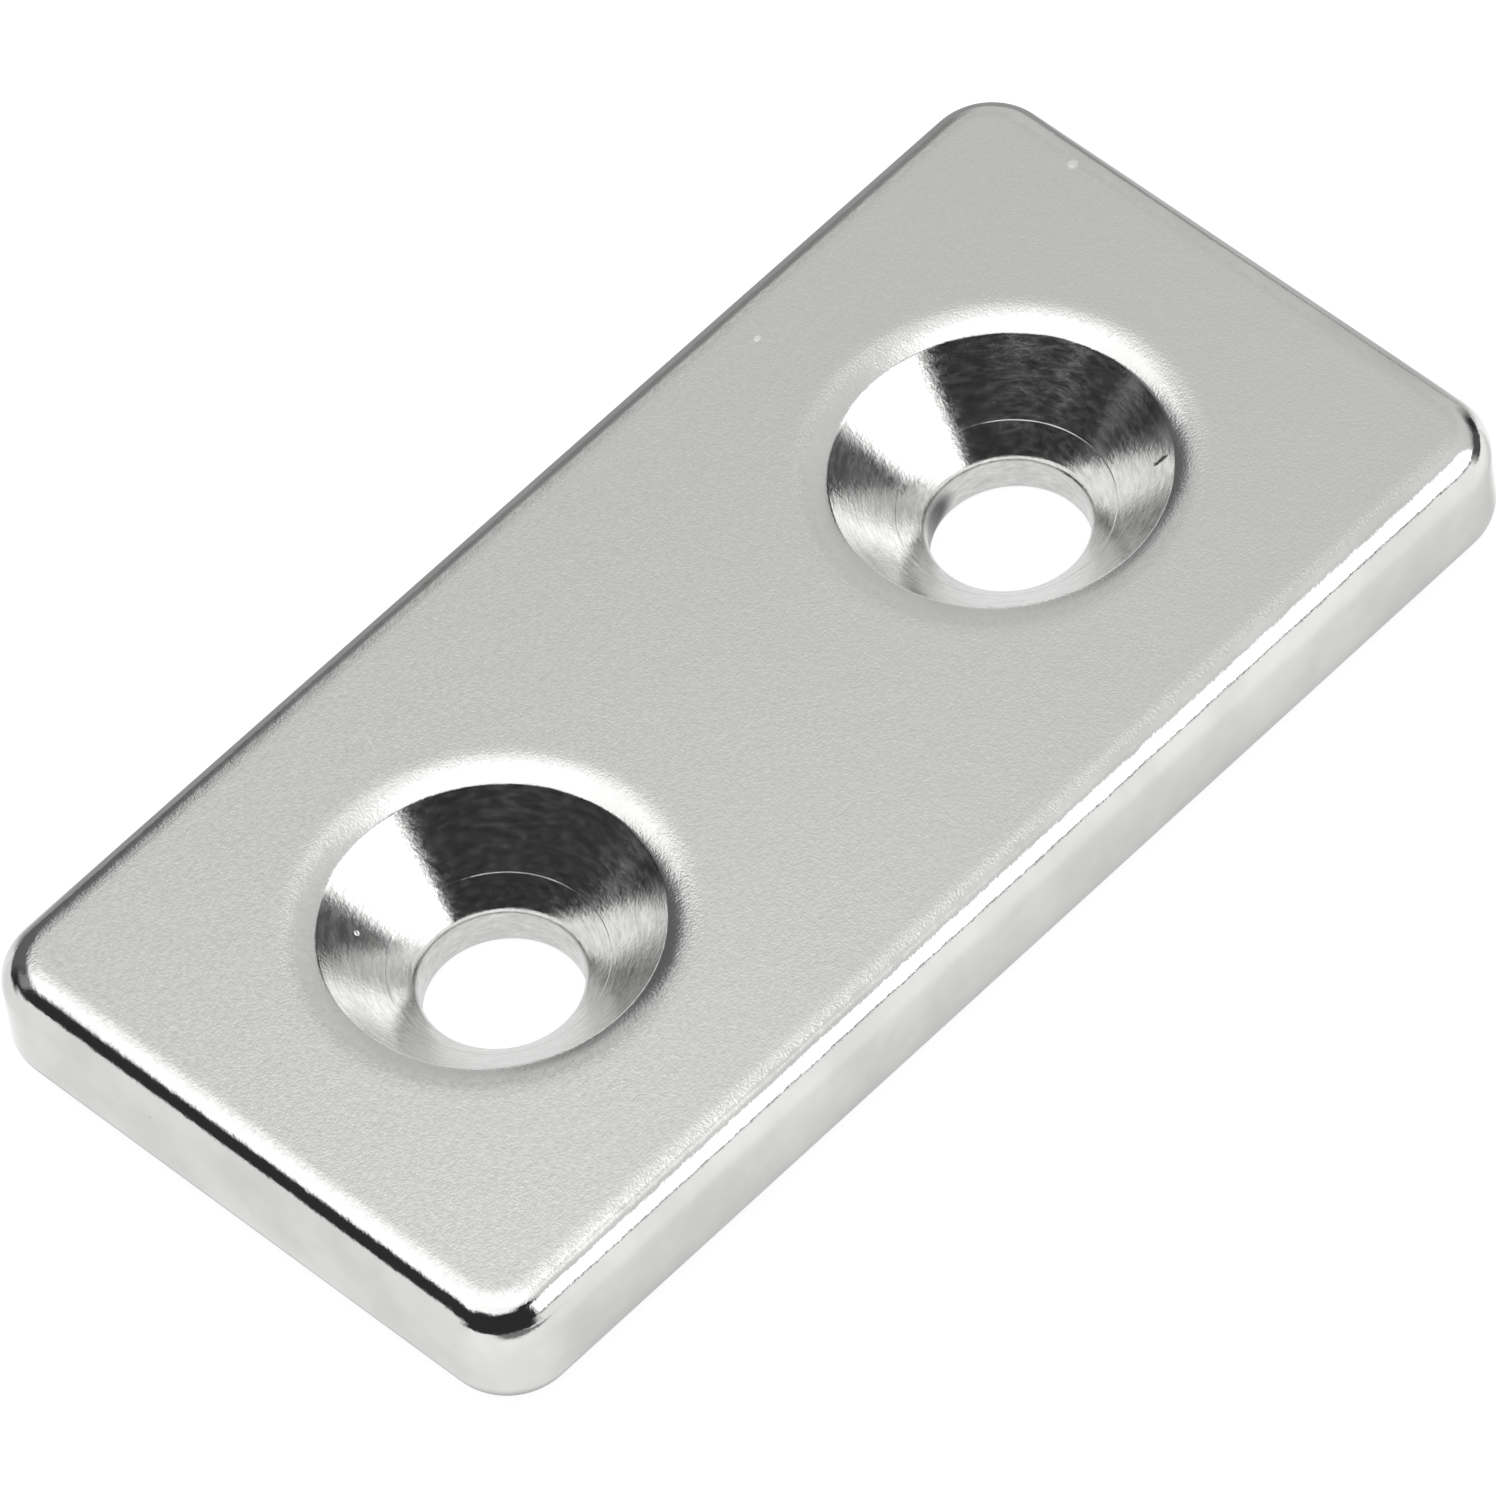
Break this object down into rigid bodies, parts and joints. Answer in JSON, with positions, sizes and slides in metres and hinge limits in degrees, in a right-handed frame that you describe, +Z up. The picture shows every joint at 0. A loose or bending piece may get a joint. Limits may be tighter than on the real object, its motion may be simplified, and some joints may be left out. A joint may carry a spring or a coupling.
{
  "type": "block magnet",
  "caption": "Flat rectangular nickel-plated magnet with countersunk screw holes and tumbled edges, screwed down as a catch, holder or closure.",
  "frame": {"origin": "centre of the flat bottom face", "axes": "+X along the length through both screw holes, +Y along the width, +Z up towards the countersunk face"},
  "size_m": [0.04, 0.02, 0.004],
  "materials": {
    "nickel_plate": "bright nickel plate, satin on the flat faces, polished on the edges and in the countersinks"
  },
  "bodies": {
    "root": {"block_magnet": "nickel_plate"}
  },
  "joints": []
}
